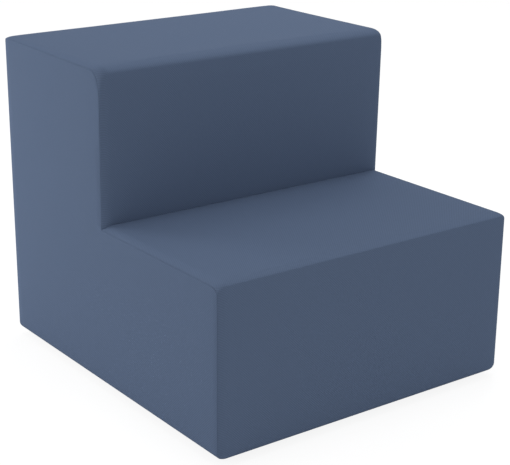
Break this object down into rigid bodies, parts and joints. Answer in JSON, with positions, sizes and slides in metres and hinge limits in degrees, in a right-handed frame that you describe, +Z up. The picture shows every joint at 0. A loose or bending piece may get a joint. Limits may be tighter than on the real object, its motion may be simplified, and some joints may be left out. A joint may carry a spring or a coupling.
{
  "type": "mounting block",
  "caption": "Upholstered stepped mounting block: a plywood carcass with foam-padded treads and risers under a sewn slate-blue coated-fabric cover, standing on rubber feet.",
  "frame": {"origin": "on the floor under the middle of the block", "axes": "+Z up; -Y is the front, where the lower step is; +X is the right-hand side as seen from the front"},
  "size_m": [0.5, 0.552, 0.4739],
  "materials": {
    "cover_fabric": "matte",
    "foam": "matte",
    "plywood": "satin",
    "pine": "satin",
    "zinc_steel": "satin",
    "rubber": "matte",
    "nonwoven": "matte"
  },
  "bodies": {
    "root": {"cover_lower_step": "cover_fabric", "cover_upper_step": "cover_fabric", "cover_back": "cover_fabric", "cover_side_left": "cover_fabric", "cover_side_right": "cover_fabric", "foam_upper_tread": "foam", "foam_lower_tread": "foam", "foam_upper_riser": "foam", "foam_front": "foam", "foam_back": "foam", "foam_side_left": "foam", "foam_side_right": "foam", "side_board_left": "plywood", "side_board_right": "plywood", "front_board": "plywood", "riser_board": "plywood", "back_board": "plywood", "lower_deck": "plywood", "upper_deck": "plywood", "riser_ledger": "pine", "base_rail_front": "pine", "base_rail_back": "pine", "base_rail_left": "pine", "base_rail_right": "pine", "corner_block_front_left": "pine", "corner_block_front_right": "pine", "corner_block_back_left": "pine", "corner_block_back_right": "pine", "lower_deck_screw_front_left": "zinc_steel", "lower_deck_screw_front_right": "zinc_steel", "lower_deck_screw_back_left": "zinc_steel", "lower_deck_screw_back_right": "zinc_steel", "upper_deck_screw_front_left": "zinc_steel", "upper_deck_screw_front_right": "zinc_steel", "upper_deck_screw_back_left": "zinc_steel", "upper_deck_screw_back_right": "zinc_steel", "front_board_screw_low_left": "zinc_steel", "front_board_screw_low_right": "zinc_steel", "front_board_screw_high_left": "zinc_steel", "front_board_screw_high_right": "zinc_steel", "back_board_screw_low_left": "zinc_steel", "back_board_screw_low_right": "zinc_steel", "back_board_screw_high_left": "zinc_steel", "back_board_screw_high_right": "zinc_steel", "riser_board_screw_mid_left": "zinc_steel", "riser_board_screw_mid_right": "zinc_steel", "dust_cover": "nonwoven", "foot_front_left": "rubber", "foot_front_right": "rubber", "foot_back_left": "rubber", "foot_back_right": "rubber", "foot_screw_front_left": "zinc_steel", "foot_screw_front_right": "zinc_steel", "foot_screw_back_left": "zinc_steel", "foot_screw_back_right": "zinc_steel"}
  },
  "joints": []
}
